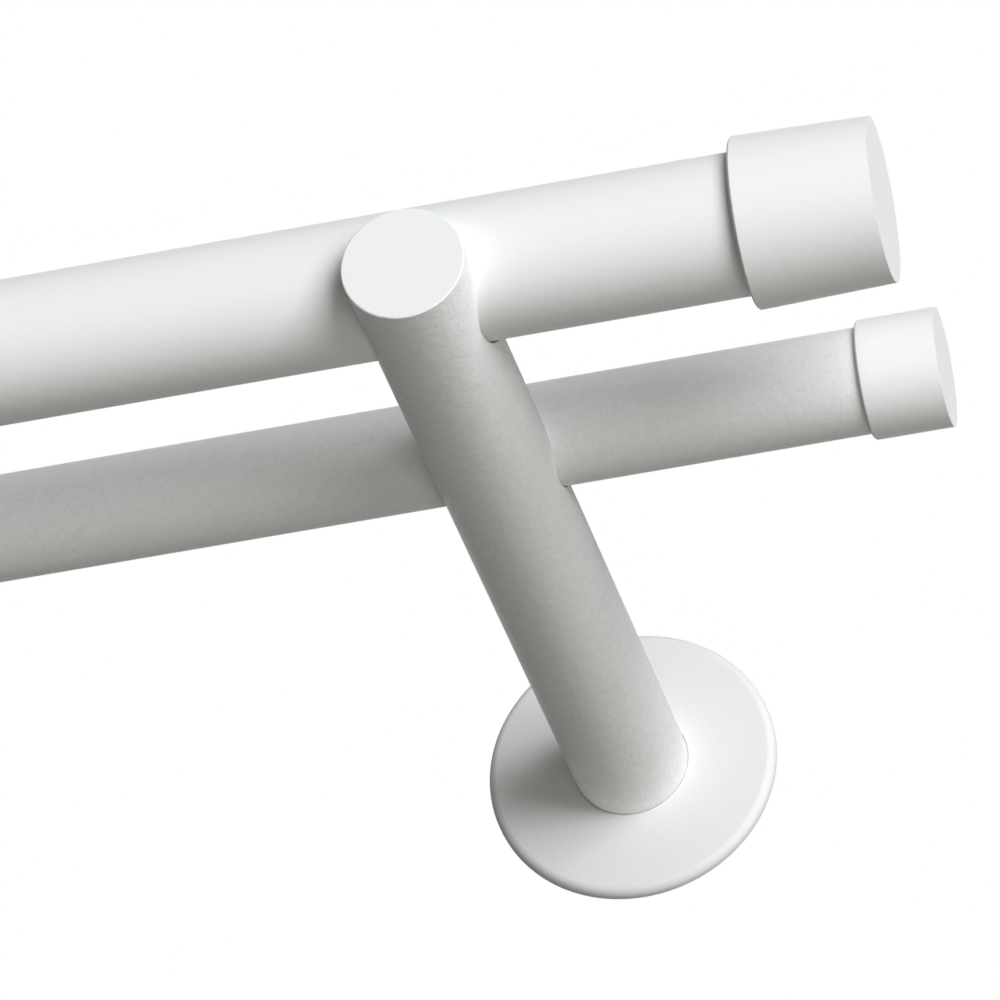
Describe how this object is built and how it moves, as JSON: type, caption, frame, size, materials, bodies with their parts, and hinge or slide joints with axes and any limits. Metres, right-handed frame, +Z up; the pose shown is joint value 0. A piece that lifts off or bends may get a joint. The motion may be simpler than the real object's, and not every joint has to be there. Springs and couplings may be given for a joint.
{
  "type": "double curtain rod",
  "caption": "Double curtain rod: a thick front tube and a thinner back tube with plain end caps, lying in cradles cut across round wall posts with round cover roses.",
  "frame": {"origin": "on the wall's face, midway between the two posts, at the height of the posts' axes, which is the centre of the four wall screw holes", "axes": "+X along the rods to the right as seen from the room, +Y into the wall, +Z up"},
  "size_m": [1.206, 0.1878, 0.0544],
  "materials": {
    "rod_paint": "matt white powder coat, fine grain",
    "bracket_paint": "matt white powder coat, fine grain",
    "rose_paint": "matt white powder coat, fine grain",
    "cap_paint": "matt white powder coat, fine grain",
    "zinc_plate": "zinc plated steel",
    "dark_steel": "blackened steel",
    "nylon": "natural nylon"
  },
  "bodies": {
    "rod_and_brackets": {"front_rod": "rod_paint", "back_rod": "rod_paint", "right_post": "bracket_paint", "right_wall_plate": "zinc_plate", "right_plate_stud": "zinc_plate", "right_front_rod_screw": "dark_steel", "right_back_rod_screw": "dark_steel", "right_post_lock_screw": "dark_steel", "left_post": "bracket_paint", "left_wall_plate": "zinc_plate", "left_plate_stud": "zinc_plate", "left_front_rod_screw": "dark_steel", "left_back_rod_screw": "dark_steel", "left_post_lock_screw": "dark_steel"},
    "right_front_cap": {"right_front_end_cap": "cap_paint", "right_front_grip_ring": "nylon"},
    "right_back_cap": {"right_back_end_cap": "cap_paint", "right_back_grip_ring": "nylon"},
    "right_rose": {"right_cover_rose": "rose_paint"},
    "left_front_cap": {"left_front_end_cap": "cap_paint", "left_front_grip_ring": "nylon"},
    "left_back_cap": {"left_back_end_cap": "cap_paint", "left_back_grip_ring": "nylon"},
    "left_rose": {"left_cover_rose": "rose_paint"}
  },
  "joints": [
    {"name": "right_front_cap_pull", "type": "slide", "parent": "rod_and_brackets", "child": "right_front_cap", "axis": [1, 0, 0], "range_m": [0, 0.03]},
    {"name": "right_back_cap_pull", "type": "slide", "parent": "rod_and_brackets", "child": "right_back_cap", "axis": [1, 0, 0], "range_m": [0, 0.02]},
    {"name": "right_rose_slide", "type": "slide", "parent": "rod_and_brackets", "child": "right_rose", "axis": [0, -1, 0], "range_m": [0, 0.098]},
    {"name": "left_front_cap_pull", "type": "slide", "parent": "rod_and_brackets", "child": "left_front_cap", "axis": [-1, 0, 0], "range_m": [0, 0.03]},
    {"name": "left_back_cap_pull", "type": "slide", "parent": "rod_and_brackets", "child": "left_back_cap", "axis": [-1, 0, 0], "range_m": [0, 0.02]},
    {"name": "left_rose_slide", "type": "slide", "parent": "rod_and_brackets", "child": "left_rose", "axis": [0, -1, 0], "range_m": [0, 0.098]}
  ]
}
